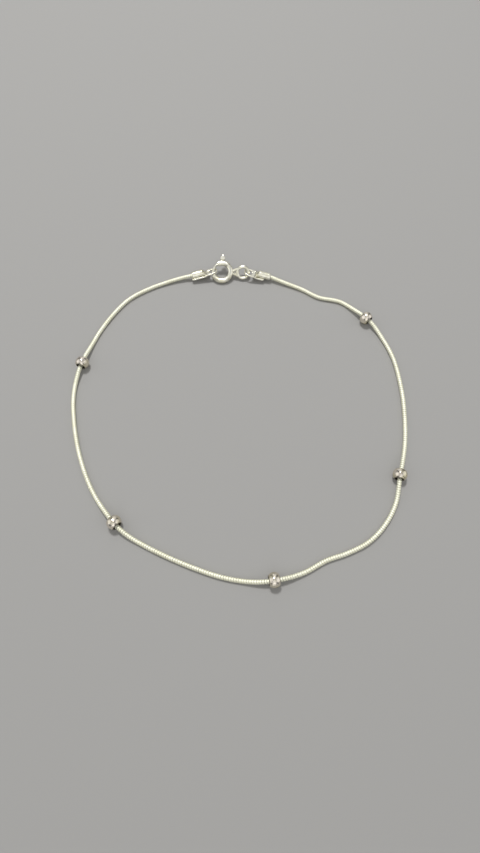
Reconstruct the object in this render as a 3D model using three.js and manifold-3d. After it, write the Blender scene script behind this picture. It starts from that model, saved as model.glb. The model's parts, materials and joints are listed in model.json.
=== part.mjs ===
// A beaded snake-chain bracelet, 20 cm round, closed by a 5 mm spring-ring clasp.
// It lies as an uneven loop on a flat surface. Millimetres, +Z up, z = 0 is the surface.

import * as THREE from 'three';
import { mergeVertices } from 'three/addons/utils/BufferGeometryUtils.js';
import Module from 'manifold-3d';

const wasm = await Module();
wasm.setup();

const DEG = Math.PI / 180;

// ---------------------------------------------------------------- driving dimensions

// The chain is one tube. Its centre line in plan runs from inside the left end cap,
// down the left side, round the front and up the right side into the right end cap.
const CHAIN_DIAMETER = 0.8;
const CHAIN_SIDES = 8;
const CHAIN_STEPS = 80;
const CHAIN_HEIGHT = 0.41;
const CHAIN_ROUTE = [
  [-8.2, 29.7], [-9.9, 29.3], [-11.6, 29.0], [-14.6, 28.1], [-18.5, 26.4],
  [-22.5, 23.7], [-25.5, 19.8], [-28.1, 14.8], [-29.9, 9.1], [-31.1, 2.9],
  [-30.4, -3.5], [-28.4, -10.7], [-25.3, -17.3], [-21.6, -22.1], [-18.5, -24.9],
  [-13.4, -27.6], [-7.6, -30.0], [-2.2, -31.7], [3.0, -32.4], [7.1, -32.0],
  [10.9, -30.9], [14.6, -29.0], [18.2, -27.8], [21.9, -26.0], [25.0, -23.1],
  [27.3, -19.3], [28.4, -14.8], [30.2, -8.9], [31.0, -2.7], [31.1, 3.3],
  [30.3, 9.9], [28.0, 15.6], [24.8, 19.6], [21.3, 22.9], [16.8, 24.1],
  [13.5, 26.1], [10.4, 27.5], [8.5, 28.3], [6.8, 29.0], [5.0, 29.4],
];

// Five loose rondelle beads, at these distances along the chain's plan route.
const BEAD_PLACES = [33.3, 67.0, 96.0, 126.9, 161.4];
const BEAD_DIAMETER = 2.5;
const BEAD_LENGTH = 1.9;
const BEAD_BORE = 1.44;
const BEAD_DISH = 0.08;
const BEAD_END_ANGLE = 48;
const BEAD_SLACK = 0.1;
const BEAD_HUMP = 6.5;
const BEAD_SIDES = 16;
const BEAD_BANDS = 7;

// Each end cap is a strip with a tube along its top. The tube takes the chain's end and
// is pressed flat into the strip, whose free end is a grooved tab with a hole. Lengths
// are measured from where the chain goes in, heights from the tube's axis.
const CAP_MOUTH_HEIGHT = 0.94;
const CAP_SOCKET = { diameter: 1.14, depth: 2, sides: 12 };
const CAP_TUBE = { diameter: 1.46, lip: 0.16, lipRound: 0.11, to: 2.4, sides: 16 };
const CAP_TAIL = [
  { at: 2.8, width: 1.6, height: 1.06, centre: -0.16 },
  { at: 3.25, width: 1.6, height: 0.24, centre: -0.42 },
];
const CAP_STRIP = { width: 2.24, thickness: 0.34, bevel: 0.08, corner: 0.35, leastFace: 0.3 };
const CAP_BEND = { from: 2.7, to: 3.5, below: -0.5, above: -0.3 };
const CAP_GROOVE = { from: 3.3, to: 4.3, width: 1.2, depth: 0.1 };
const CAP_HOLE = { at: 4.62, diameter: 1.5, flare: 2, straight: 0.12, height: 0.8, sides: 16 };
const CAP_TIP = { from: 4.1, length: 1.52, angles: [25, 45, 60, 75] };
const CAP_LEFT = { tubeFrom: 0.22, stripFrom: 0, roll: -20 };
const CAP_RIGHT = { tubeFrom: 0, stripFrom: 1.2, roll: 12 };
const CAP_RISE = 8.5;
const CAP_INSERTION = 1.75;

// The clasp: a hollow ring open on its left side, with a closed eye soldered to its
// right side by two legs. Angles are about the ring's centre, 0 towards the eye.
const RING_RADIUS = 1.84;
const RING_TUBE = 1.08;
const RING_BORE = 0.74;
const RING_SIDES = 12;
const RING_STEPS = 28;
const BORE_SIDES = 10;
const RING_GAP = { from: 120, to: 206 };
const RING_TILT = 24;
const RING_YAW = -2;
const RING_PLACE = [-3.42, 30.07];
const EYE_DISTANCE = 4.42;
const EYE_RADIUS = 1.14;
const EYE_WIRE = 0.64;
const EYE_TWIST = 16;
const EYE_SIDES = 10;
const EYE_STEPS = 24;
const LEG_WIRE = 0.56;
const LEG_SIDES = 8;
const LEG_SPREAD = 44;
const LEG_ROOT = { sunk: 0.1, aside: 0.26 };

// The bolt is a wire bow inside the ring, with a spade-shaped thumb piece. It slides
// along the ring's tube towards the eye, and a hidden spring closes it again.
const BOLT_WIRE = 0.5;
const BOLT_ARC = { from: 81, to: 211 };
const BOLT_SIDES = 10;
const BOLT_STEPS = 14;
const BOLT_TRAVEL = 58;
const THUMB_ANGLE = 88;
const THUMB_NECK = { width: 0.34, thickness: 0.26, from: 1.84, to: 2.7 };
const THUMB = {
  from: 2.45, to: 3.58, width: 1.12, thickness: 0.6, bevel: 0.12, foot: 0.34, point: 0.1,
  shoulderAt: 0.3, browAt: 0.65, browShare: 0.8, steps: 5,
};
const SLOT = { height: 0.4, from: 2.0, to: 2.6, spare: 8, steps: 10 };

// The left cap hangs on the bolt, the right cap on the eye.
const LEFT_LINK_ANGLE = 178.5;

// ---------------------------------------------------------------- materials

const silver = (color, roughness) =>
  new THREE.MeshStandardMaterial({ color, roughness, metalness: 1 });

// ---------------------------------------------------------------- solids

function toSolid(geometry) {
  const bare = geometry.clone();
  bare.deleteAttribute('normal');
  bare.deleteAttribute('uv');
  const merged = mergeVertices(bare, 1e-5);
  return new wasm.Manifold(new wasm.Mesh({
    numProp: 3,
    vertProperties: merged.attributes.position.array,
    triVerts: Uint32Array.from(merged.index.array),
  }));
}

function toGeometry(solid) {
  const mesh = solid.getMesh();
  const geometry = new THREE.BufferGeometry();
  geometry.setAttribute('position', new THREE.BufferAttribute(mesh.vertProperties, 3));
  geometry.setIndex(new THREE.BufferAttribute(mesh.triVerts, 1));
  geometry.computeVertexNormals();
  return geometry;
}

// A solid bar of a regular section, whose flats are one diameter apart, along a path.
function bar(path, diameter, sides, steps) {
  const radius = diameter / 2 / Math.cos(Math.PI / sides);
  const corners = [];
  for (let i = 0; i < sides; i += 1) {
    const angle = (i + 0.5) * 2 * Math.PI / sides;
    corners.push(new THREE.Vector2(radius * Math.cos(angle), radius * Math.sin(angle)));
  }
  const section = new THREE.Shape(corners);
  return new THREE.ExtrudeGeometry(section, { steps, bevelEnabled: false, extrudePath: path });
}

// An arc about the origin in the XY plane, in degrees.
class Arc extends THREE.Curve {
  constructor(radius, from, to) {
    super();
    this.radius = radius;
    this.from = from;
    this.to = to;
  }

  getPoint(t, target = new THREE.Vector3()) {
    const angle = (this.from + t * (this.to - this.from)) * DEG;
    return target.set(this.radius * Math.cos(angle), this.radius * Math.sin(angle), 0);
  }
}

// A closed skin over rings of points, each end closed by a fan about its middle.
function loft(rings) {
  const sides = rings[0].length;
  const points = rings.flat();
  const faces = [];
  for (let r = 0; r < rings.length - 1; r += 1) {
    for (let i = 0; i < sides; i += 1) {
      const a = r * sides + i;
      const b = r * sides + (i + 1) % sides;
      faces.push(a, b, b + sides, a, b + sides, a + sides);
    }
  }
  const last = (rings.length - 1) * sides;
  const middleOf = (ring) => ring.reduce((sum, p) => sum.add(p), new THREE.Vector3())
    .divideScalar(sides);
  const first = points.push(middleOf(rings[0])) - 1;
  const end = points.push(middleOf(rings[rings.length - 1])) - 1;
  for (let i = 0; i < sides; i += 1) {
    const next = (i + 1) % sides;
    faces.push(first, next, i, end, last + i, last + next);
  }
  const geometry = new THREE.BufferGeometry().setFromPoints(points);
  geometry.setIndex(faces);
  geometry.computeVertexNormals();
  return geometry;
}

// ---------------------------------------------------------------- chain

// How far the chain's centre line is lifted off its resting height: over each bead a
// smooth hump, and towards each cap a rise that ends in a straight run into the socket.
function chainLift(distance, length) {
  const hump = BEAD_DIAMETER / 2 - BEAD_SLACK - CHAIN_HEIGHT;
  let lift = 0;
  for (const place of BEAD_PLACES) {
    const u = Math.min(1, Math.abs(distance - place) / BEAD_HUMP);
    lift += hump * (1 - u * u) ** 3;
  }
  const gain = CAP_MOUTH_HEIGHT - CHAIN_HEIGHT;
  for (const fromEnd of [distance, length - distance]) {
    const risen = (CAP_RISE + CAP_INSERTION - fromEnd) / CAP_RISE;
    if (risen > 1) lift += gain * (2 * risen - 1);
    else if (risen > 0) lift += gain * risen * risen;
  }
  return lift;
}

class ChainPath extends THREE.Curve {
  constructor() {
    super();
    const corners = CHAIN_ROUTE.map(([x, y]) => new THREE.Vector3(x, y, 0));
    this.plan = new THREE.CatmullRomCurve3(corners, false, 'catmullrom', 0.5);
    this.plan.arcLengthDivisions = 1000;
    this.arcLengthDivisions = 1000;
    this.planLength = this.plan.getLength();
  }

  getPoint(t, target = new THREE.Vector3()) {
    this.plan.getPointAt(t, target);
    target.z = CHAIN_HEIGHT + chainLift(t * this.planLength, this.planLength);
    return target;
  }
}

const chainPath = new ChainPath();

const chain = new THREE.Mesh(
  bar(chainPath, CHAIN_DIAMETER, CHAIN_SIDES, CHAIN_STEPS),
  silver(0xe9e6d8, 0.35),
);
chain.name = 'chain';

// ---------------------------------------------------------------- beads

// A rondelle with its bore along Y. Its middle band is a row of flats, one of them
// facing straight down.
function beadGeometry() {
  const half = BEAD_LENGTH / 2;
  const bore = BEAD_BORE / 2;
  const endAngle = BEAD_END_ANGLE * DEG;
  const step = 2 * endAngle / BEAD_BANDS;
  const radius = BEAD_DIAMETER / 2 / Math.cos(Math.PI / BEAD_SIDES) / Math.cos(step / 2);
  const profile = [new THREE.Vector2(bore, -half + BEAD_DISH)];
  for (let i = 0; i <= BEAD_BANDS; i += 1) {
    const angle = -endAngle + i * step;
    const along = half * Math.sin(angle) / Math.sin(endAngle);
    profile.push(new THREE.Vector2(radius * Math.cos(angle), along));
  }
  profile.push(new THREE.Vector2(bore, half - BEAD_DISH));
  profile.push(profile[0].clone());
  return new THREE.LatheGeometry(profile, BEAD_SIDES, Math.PI / BEAD_SIDES);
}

const beads = BEAD_PLACES.map((place, index) => {
  const t = place / chainPath.planLength;
  const centre = chainPath.plan.getPointAt(t);
  const along = chainPath.plan.getTangentAt(t);
  const inward = new THREE.Vector3(-along.y, along.x, 0);
  const bead = new THREE.Mesh(beadGeometry(), silver(0xd9d0c6, 0.18));
  bead.name = `bead_${index + 1}`;
  bead.position.copy(centre).addScaledVector(inward, BEAD_SLACK);
  bead.position.z = BEAD_DIAMETER / 2;
  bead.rotation.z = Math.atan2(-along.x, along.y);
  return bead;
});

// ---------------------------------------------------------------- end caps

// One cross-section of a cap's tube: an ellipse about a centre above or below its axis.
function tubeRing({ at, width, height, centre }) {
  const ring = [];
  for (let i = 0; i < CAP_TUBE.sides; i += 1) {
    const angle = (i + 0.5) * 2 * Math.PI / CAP_TUBE.sides;
    const across = width / 2 * Math.cos(angle);
    ring.push(new THREE.Vector3(at, across, centre + height / 2 * Math.sin(angle)));
  }
  return ring;
}

// One cross-section of a cap's strip: a flat bar with bevelled edges.
function stripRing(at, width) {
  const { thickness, bevel, leastFace } = CAP_STRIP;
  const { from, to, below, above } = CAP_BEND;
  const raised = THREE.MathUtils.clamp((at - from) / (to - from), 0, 1);
  const centre = THREE.MathUtils.lerp(below, above, raised);
  const outer = width / 2;
  const inner = Math.max(leastFace * outer, outer - bevel);
  const face = thickness / 2;
  const edge = face - bevel;
  return [
    [outer, edge], [inner, face], [-inner, face], [-outer, edge],
    [-outer, -edge], [-inner, -face], [inner, -face], [outer, -edge],
  ].map(([across, up]) => new THREE.Vector3(at, across, centre + up));
}

// A cap along +X from its mouth at the origin, its tab's hole along Z.
function capGeometry({ tubeFrom, stripFrom }) {
  const { diameter, lip, lipRound, to } = CAP_TUBE;
  const round = (at, width) => ({ at, width, height: width, centre: 0 });
  const tube = loft([
    round(tubeFrom, diameter - 2 * lipRound),
    round(tubeFrom + lip, diameter),
    round(to, diameter),
    ...CAP_TAIL,
  ].map(tubeRing));

  const { width, corner } = CAP_STRIP;
  const strip = loft([
    stripRing(stripFrom, width - 2 * corner),
    stripRing(stripFrom + corner, width),
    stripRing(CAP_BEND.from, width),
    stripRing(CAP_BEND.to, width),
    stripRing(CAP_TIP.from, width),
    ...CAP_TIP.angles.map((angle) => stripRing(
      CAP_TIP.from + CAP_TIP.length * Math.sin(angle * DEG), width * Math.cos(angle * DEG),
    )),
  ]);

  // The socket's cutter reaches as far out of the mouth as in.
  const wall = CAP_SOCKET.diameter / 2;
  const socket = new THREE.CylinderGeometry(wall, wall, 2 * CAP_SOCKET.depth, CAP_SOCKET.sides);
  socket.rotateZ(Math.PI / 2);

  const grooveLength = CAP_GROOVE.to - CAP_GROOVE.from;
  const groove = new THREE.BoxGeometry(grooveLength, CAP_GROOVE.width, 2 * CAP_GROOVE.depth);
  groove.translate(
    CAP_GROOVE.from + grooveLength / 2, 0, CAP_BEND.above + CAP_STRIP.thickness / 2,
  );

  // The hole is worn wider at both faces than in its middle.
  const reach = CAP_HOLE.height / 2;
  const waist = CAP_HOLE.straight / 2;
  const hole = new THREE.LatheGeometry([
    new THREE.Vector2(0, -reach),
    new THREE.Vector2(CAP_HOLE.flare / 2, -reach),
    new THREE.Vector2(CAP_HOLE.diameter / 2, -waist),
    new THREE.Vector2(CAP_HOLE.diameter / 2, waist),
    new THREE.Vector2(CAP_HOLE.flare / 2, reach),
    new THREE.Vector2(0, reach),
  ], CAP_HOLE.sides);
  hole.rotateX(Math.PI / 2);
  hole.translate(CAP_HOLE.at, 0, CAP_BEND.above);

  const cutters = [socket, groove, hole].map(toSolid);
  return toGeometry(toSolid(tube).add(toSolid(strip)).subtract(wasm.Manifold.union(cutters)));
}

// The compass bearing and the climb of a direction.
const bearing = ({ x, y }) => Math.atan2(y, x);
const climb = ({ x, y, z }) => Math.atan2(z, Math.hypot(x, y));

// A cap whose mouth is at one end of the chain and whose hole is aimed at its link.
function makeCap(name, mouth, link, shape) {
  const run = link.clone().sub(mouth);
  const aim = new THREE.Vector3(CAP_HOLE.at, 0, CAP_BEND.above);
  aim.applyAxisAngle(new THREE.Vector3(1, 0, 0), shape.roll * DEG);
  const cap = new THREE.Mesh(capGeometry(shape), silver(0xe4dfd0, 0.3));
  cap.name = name;
  cap.position.copy(mouth);
  cap.rotation.set(shape.roll * DEG, climb(aim) - climb(run), bearing(run) - bearing(aim), 'ZYX');
  return cap;
}

// ---------------------------------------------------------------- clasp

// A round bar between two points.
function strut(from, to, diameter) {
  const run = to.clone().sub(from);
  const geometry = new THREE.CylinderGeometry(diameter / 2, diameter / 2, run.length(), LEG_SIDES);
  const turn = new THREE.Quaternion().setFromUnitVectors(
    new THREE.Vector3(0, 1, 0), run.clone().normalize(),
  );
  geometry.applyQuaternion(turn);
  const middle = from.clone().add(to).divideScalar(2);
  geometry.translate(middle.x, middle.y, middle.z);
  return geometry;
}

// The slot in the ring's outer wall that the thumb piece's neck runs in.
function slotGeometry() {
  const from = (THUMB_ANGLE - BOLT_TRAVEL - SLOT.spare) * DEG;
  const to = (THUMB_ANGLE + SLOT.spare) * DEG;
  const outline = new THREE.Shape();
  outline.absarc(0, 0, SLOT.to, from, to, false);
  outline.absarc(0, 0, SLOT.from, to, from, true);
  const slot = new THREE.ExtrudeGeometry(outline, {
    depth: SLOT.height, bevelEnabled: false, curveSegments: SLOT.steps,
  });
  slot.translate(0, 0, -SLOT.height / 2);
  return slot;
}

function ringGeometry() {
  const from = RING_GAP.to;
  const to = RING_GAP.from + 360;
  const tube = bar(new Arc(RING_RADIUS, from, to), RING_TUBE, RING_SIDES, RING_STEPS);
  let solid = toSolid(tube);

  const eye = new THREE.TorusGeometry(EYE_RADIUS, EYE_WIRE / 2, EYE_SIDES, EYE_STEPS);
  eye.rotateX(EYE_TWIST * DEG);
  eye.translate(EYE_DISTANCE, 0, 0);
  solid = solid.add(toSolid(eye));

  const rootDistance = RING_RADIUS + RING_TUBE / 2 - LEG_ROOT.sunk;
  for (const side of [-1, 1]) {
    const root = new THREE.Vector3(rootDistance, side * LEG_ROOT.aside, 0);
    const foot = new THREE.Vector3(
      -EYE_RADIUS * Math.cos(LEG_SPREAD * DEG), side * EYE_RADIUS * Math.sin(LEG_SPREAD * DEG), 0,
    );
    foot.applyAxisAngle(new THREE.Vector3(1, 0, 0), EYE_TWIST * DEG);
    foot.x += EYE_DISTANCE;
    solid = solid.add(toSolid(strut(root, foot, LEG_WIRE)));
  }

  // The bore's cutter runs a little past both ends of the tube.
  const past = 5;
  const bore = bar(new Arc(RING_RADIUS, from - past, to + past), RING_BORE, BORE_SIDES, RING_STEPS);
  return toGeometry(solid.subtract(toSolid(bore)).subtract(toSolid(slotGeometry())));
}

// The thumb piece: round shoulders low down and a blunt point outwards.
function thumbGeometry() {
  const { width, from, to, thickness, bevel, shoulderAt, browAt, browShare, steps } = THUMB;
  const low = from + bevel;
  const high = to - bevel;
  const half = width / 2 - bevel;
  const shoulder = low + shoulderAt * (high - low);
  const brow = low + browAt * (high - low);
  const foot = THUMB.foot / 2;
  const point = THUMB.point / 2;
  const outline = new THREE.Shape();
  outline.moveTo(-foot, low);
  outline.lineTo(foot, low);
  outline.quadraticCurveTo(half, low + foot, half, shoulder);
  outline.quadraticCurveTo(browShare * half, brow, point, high);
  outline.lineTo(-point, high);
  outline.quadraticCurveTo(-browShare * half, brow, -half, shoulder);
  outline.quadraticCurveTo(-half, low + foot, -foot, low);
  const thumb = new THREE.ExtrudeGeometry(outline, {
    depth: thickness - 2 * bevel,
    bevelThickness: bevel,
    bevelSize: bevel,
    bevelSegments: 2,
    curveSegments: steps,
  });
  thumb.translate(0, 0, -thickness / 2 + bevel);
  return thumb;
}

function boltGeometry() {
  const arc = new Arc(RING_RADIUS, BOLT_ARC.from, BOLT_ARC.to);
  const bow = bar(arc, BOLT_WIRE, BOLT_SIDES, BOLT_STEPS);
  const neckLength = THUMB_NECK.to - THUMB_NECK.from;
  const neck = new THREE.BoxGeometry(THUMB_NECK.width, neckLength, THUMB_NECK.thickness);
  neck.translate(0, THUMB_NECK.from + neckLength / 2, 0);
  const thumb = toSolid(neck).add(toSolid(thumbGeometry())).rotate([0, 0, THUMB_ANGLE - 90]);
  return toGeometry(toSolid(bow).add(thumb));
}

const clasp = new THREE.Group();
clasp.position.set(RING_PLACE[0], RING_PLACE[1], 0);
clasp.rotation.set(RING_TILT * DEG, 0, RING_YAW * DEG, 'ZYX');

const claspRing = new THREE.Mesh(ringGeometry(), silver(0xe4dfd0, 0.22));
claspRing.name = 'clasp_ring';
clasp.add(claspRing);

const claspBolt = new THREE.Mesh(boltGeometry(), silver(0xe4dfd0, 0.22));
claspBolt.name = 'clasp_bolt';
clasp.add(claspBolt);

// The tilted ring rests on the surface with its near side.
clasp.position.z = -new THREE.Box3().setFromObject(clasp, true).min.z;
clasp.updateMatrixWorld(true);

const leftLink = clasp.localToWorld(new THREE.Vector3(
  RING_RADIUS * Math.cos(LEFT_LINK_ANGLE * DEG),
  RING_RADIUS * Math.sin(LEFT_LINK_ANGLE * DEG),
  0,
));
const rightLink = clasp.localToWorld(new THREE.Vector3(EYE_DISTANCE + EYE_RADIUS, 0, 0));

const mouthAt = ([x, y]) => new THREE.Vector3(x, y, CAP_MOUTH_HEIGHT);
const leftMouth = mouthAt(CHAIN_ROUTE[1]);
const rightMouth = mouthAt(CHAIN_ROUTE[CHAIN_ROUTE.length - 2]);

// ---------------------------------------------------------------- the bracelet

const bracelet = new THREE.Group();
bracelet.add(
  chain,
  ...beads,
  makeCap('end_cap_left', leftMouth, leftLink, CAP_LEFT),
  makeCap('end_cap_right', rightMouth, rightLink, CAP_RIGHT),
  clasp,
);

export default bracelet;
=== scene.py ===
# %% [markdown]
# # A beaded snake-chain bracelet
#
# This lesson dresses the plain solids of a fine silver bracelet: a snake chain as thin as
# string, five loose polished beads, a small cap on each end of the chain, and a
# spring-ring clasp that closes the loop. The solids say where everything is and how big
# it is. The lesson makes the surfaces: the ribs of the chain, the rounded lips of the
# beads, the solder round the clasp's legs, and silver that has been worn.
#
# Everything is modelled in millimetres, because that is how such small work is measured,
# and each finished mesh is scaled to metres in one place.

# %% Load the frame
import json
import math

import bpy
import numpy as np
from mathutils import Matrix, Vector


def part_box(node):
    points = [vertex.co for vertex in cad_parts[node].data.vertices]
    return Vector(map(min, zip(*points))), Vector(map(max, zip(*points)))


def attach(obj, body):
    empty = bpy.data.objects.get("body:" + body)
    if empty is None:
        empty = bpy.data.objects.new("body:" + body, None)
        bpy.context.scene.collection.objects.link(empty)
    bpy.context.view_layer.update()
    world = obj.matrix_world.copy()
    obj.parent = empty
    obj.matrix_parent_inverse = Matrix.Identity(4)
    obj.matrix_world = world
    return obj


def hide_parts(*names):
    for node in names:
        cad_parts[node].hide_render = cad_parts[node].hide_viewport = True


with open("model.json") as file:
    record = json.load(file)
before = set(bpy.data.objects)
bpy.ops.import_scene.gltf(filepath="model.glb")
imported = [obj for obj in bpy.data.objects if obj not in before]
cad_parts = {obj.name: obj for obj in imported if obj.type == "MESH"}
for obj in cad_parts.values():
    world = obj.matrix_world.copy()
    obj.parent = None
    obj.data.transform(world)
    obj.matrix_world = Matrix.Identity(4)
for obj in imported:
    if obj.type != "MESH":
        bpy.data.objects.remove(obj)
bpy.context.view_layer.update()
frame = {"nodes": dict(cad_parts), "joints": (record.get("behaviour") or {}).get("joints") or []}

MM = 0.001
print("nodes:", sorted(frame["nodes"]))

# %% [markdown]
# ## The camera
#
# The bracelet lies on a table and is seen from a hand's breadth above it, a little from
# the front. So short a distance stretches the near side of the loop and shrinks the far
# side, which a long lens from far away would not do. The camera is placed first, because
# every later choice of detail depends on how large things look from it.

# %% Place the camera
SENSOR = 36.0
# The focal length, as a share of the sensor's longer side.
FOCAL_SHARE = 0.5627
CAMERA_DISTANCE = 88.4
CAMERA_ELEVATION = math.radians(67)
CAMERA_TARGET = Vector((0.4, -5.0, 0.4))

camera_data = bpy.data.cameras.new("camera")
camera_data.sensor_width = SENSOR
camera_data.lens = SENSOR * FOCAL_SHARE
camera_data.clip_start = 0.005
camera = bpy.data.objects.new("camera", camera_data)
bpy.context.scene.collection.objects.link(camera)
backwards = Vector((0, -math.cos(CAMERA_ELEVATION), math.sin(CAMERA_ELEVATION)))
camera.location = (CAMERA_TARGET + CAMERA_DISTANCE * backwards) * MM
camera.rotation_euler = (math.pi / 2 - CAMERA_ELEVATION, 0, 0)
bpy.context.scene.camera = camera
print("camera at", [round(v, 4) for v in camera.location])

# %% [markdown]
# ## Node trees as Python expressions
#
# Materials and Geometry Nodes are both trees of nodes. Wiring them by hand takes many
# lines that hide the idea, so one small class wraps an output and another wraps the
# tree. After that, `0.3 + 0.2 * grain` adds the nodes by itself.


# %% Two helpers for node trees
class Output:
    """One output of a node. Arithmetic on it adds Math nodes to its tree."""

    def __init__(self, graph, socket):
        self.graph = graph
        self.socket = socket

    def math(self, operation, *terms):
        settings = {"operation": operation}
        return self.graph.node("ShaderNodeMath", settings, dict(enumerate(terms)))

    def __add__(self, other):
        return self.math("ADD", self, other)

    def __radd__(self, other):
        return self.math("ADD", other, self)

    def __sub__(self, other):
        return self.math("SUBTRACT", self, other)

    def __rsub__(self, other):
        return self.math("SUBTRACT", other, self)

    def __mul__(self, other):
        return self.math("MULTIPLY", self, other)

    def __rmul__(self, other):
        return self.math("MULTIPLY", other, self)


class Graph:
    """A node tree that is written as expressions."""

    def __init__(self, tree):
        self.tree = tree

    def node(self, kind, settings=None, inputs=None, output=0):
        """Adds a node: its settings first, then the values or links of its sockets."""
        made = self.tree.nodes.new(kind)
        for name, value in (settings or {}).items():
            setattr(made, name, value)
        for key, value in (inputs or {}).items():
            if isinstance(value, Output):
                self.tree.links.new(value.socket, made.inputs[key])
            else:
                made.inputs[key].default_value = value
        return Output(self, made.outputs[output])

    def mix(self, factor, first, second):
        """One colour fading into another."""
        settings = {"data_type": "RGBA"}
        inputs = {"Factor": factor, 6: first, 7: second}
        return self.node("ShaderNodeMix", settings, inputs, output=2)


# %% [markdown]
# ## The table and the light
#
# Silver has almost no colour of its own. What it shows is the room, so the room is
# designed before the silver. A lamp with a hard outline would print its own shape on
# every bead. Here the sky itself glows in a few soft patches that fade at their edges:
# a wide low one on each flank, which lights the edges of everything round, two over the
# near side, one low on the far side and a small one high up. Between them the sky stays
# dim, and that is what draws dark bands on polished metal and lets it read as round. One
# small softbox adds the shadow on the table.

# %% Make the table
TABLE_REACH = 1.5
TABLE_COLOR = (0.33, 0.325, 0.315, 1)

table_mesh = bpy.data.meshes.new("table")
table_corners = [(-1, -1, 0), (1, -1, 0), (1, 1, 0), (-1, 1, 0)]
table_points = [tuple(TABLE_REACH * c for c in corner) for corner in table_corners]
table_mesh.from_pydata(table_points, [], [(0, 1, 2, 3)])
table = bpy.data.objects.new("table", table_mesh)
bpy.context.scene.collection.objects.link(table)

table_material = bpy.data.materials.new("pale matte table")
table_material.use_nodes = True
table_shader = table_material.node_tree.nodes["Principled BSDF"]
table_shader.inputs["Base Color"].default_value = TABLE_COLOR
table_shader.inputs["Roughness"].default_value = 0.9
table_shader.inputs["Specular IOR Level"].default_value = 0.2
table_mesh.materials.append(table_material)
print(f"table {2 * TABLE_REACH:g} m across")

# %% Light the sky
world = bpy.data.worlds.new("studio")
bpy.context.scene.world = world
world.use_nodes = True
sky = Graph(world.node_tree)
sky_direction = sky.node("ShaderNodeTexCoord", output="Generated")


def soft_patch(azimuth, elevation, spread, brightness):
    """A patch of sky that glows and fades to nothing at its edge, all in degrees."""
    turn, rise = math.radians(azimuth), math.radians(elevation)
    middle = (math.sin(turn) * math.cos(rise), math.cos(turn) * math.cos(rise), math.sin(rise))
    nearness = sky.node(
        "ShaderNodeVectorMath", {"operation": "DOT_PRODUCT"},
        {0: sky_direction, 1: middle}, output="Value",
    )
    return sky.node("ShaderNodeMapRange", {"interpolation_type": "SMOOTHSTEP"}, {
        0: nearness, "From Min": math.cos(math.radians(spread)), "From Max": 1.0,
        "To Max": brightness,
    })


SKY_BASE = 0.12
# Azimuth 0 is the far side, 180 the near side and 90 the right.
sky_light = (
    SKY_BASE
    + soft_patch(0, 62, 34, 0.5)
    + soft_patch(0, 20, 35, 0.6)
    + soft_patch(180, 56, 42, 0.75)
    + soft_patch(180, 12, 40, 0.7)
    + soft_patch(-90, 27, 45, 0.9)
    + soft_patch(90, 27, 45, 0.9)
)
background = world.node_tree.nodes["Background"]
world.node_tree.links.new(sky_light.socket, background.inputs["Color"])
background.inputs["Strength"].default_value = 1.0
print("sky:", len(world.node_tree.nodes), "nodes")

# %% Hang the softbox that casts the shadow
SOFTBOX_PLACE = Vector((-0.06, 0.24, 0.52))
SOFTBOX_SIZE = 0.1
SOFTBOX_POWER = 2.1

softbox_data = bpy.data.lights.new("softbox", "AREA")
softbox_data.shape = "DISK"
softbox_data.size = SOFTBOX_SIZE
softbox_data.energy = SOFTBOX_POWER
softbox = bpy.data.objects.new("softbox", softbox_data)
softbox.location = SOFTBOX_PLACE
softbox.rotation_euler = SOFTBOX_PLACE.to_track_quat("Z", "Y").to_euler()
bpy.context.scene.collection.objects.link(softbox)
bpy.context.scene.view_settings.view_transform = "Standard"
print("lit by the sky and", softbox.name)

# %% [markdown]
# ## Silver
#
# Worn sterling silver is a warm white metal. Its brightness comes from polish, and its
# age from three things: a faint yellow film that lies in patches; nearly black sulphide
# in the grooves, laid on darker than tarnish alone as painted shade; and crossed hair
# scratches that break up the reflections. One function makes all three, and each piece
# asks for its own amounts.
# Grooves are marked on the meshes by an attribute called `recess`, 0 on the open surface
# and 1 at the bottom, so that the sulphide and the painted shade gather at the bottom.
#
# Painted maps could carry the same marks, but they would need the meshes unwrapped, and
# at this size they would blur. Noise in the object's own coordinates needs neither, and
# it stays sharp however close the eye comes.


# %% A recipe for worn silver
FILM_COLOR = (0.58, 0.54, 0.32, 1)
# Near-black sulphide, laid in grooves and creases darker than tarnish alone: painted shade as
# well.
SOOT_AND_SHADE_COLOR = (0.05, 0.042, 0.03, 1)
FILM_SCALE = 620.0
HAIR_SCALE = 900.0
RIPPLE_SCALE = 1500.0
# Where film begins and is full in its noise, and the same for the soot and painted shade in the
# recess.
FILM_FROM, FILM_TO = 0.42, 0.68
SOOT_AND_SHADE_FROM, SOOT_AND_SHADE_TO = 0.17, 0.62
# How much roughness full film and full soot add; the painted shade shares the soot's mask.
FILM_DULLNESS, SOOT_AND_SHADE_DULLNESS = 0.18, 0.3
# The turn of each layer of hair scratches, and how much it is squeezed along each axis.
HAIR_LAYERS = [((0.3, 0.1, 0.5), (1, 14, 14)), ((0.2, 0.4, 2.0), (12, 1, 12))]
HAIR_DEPTH = 0.15
RELIEF_DEPTH = 0.1 * MM


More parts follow.
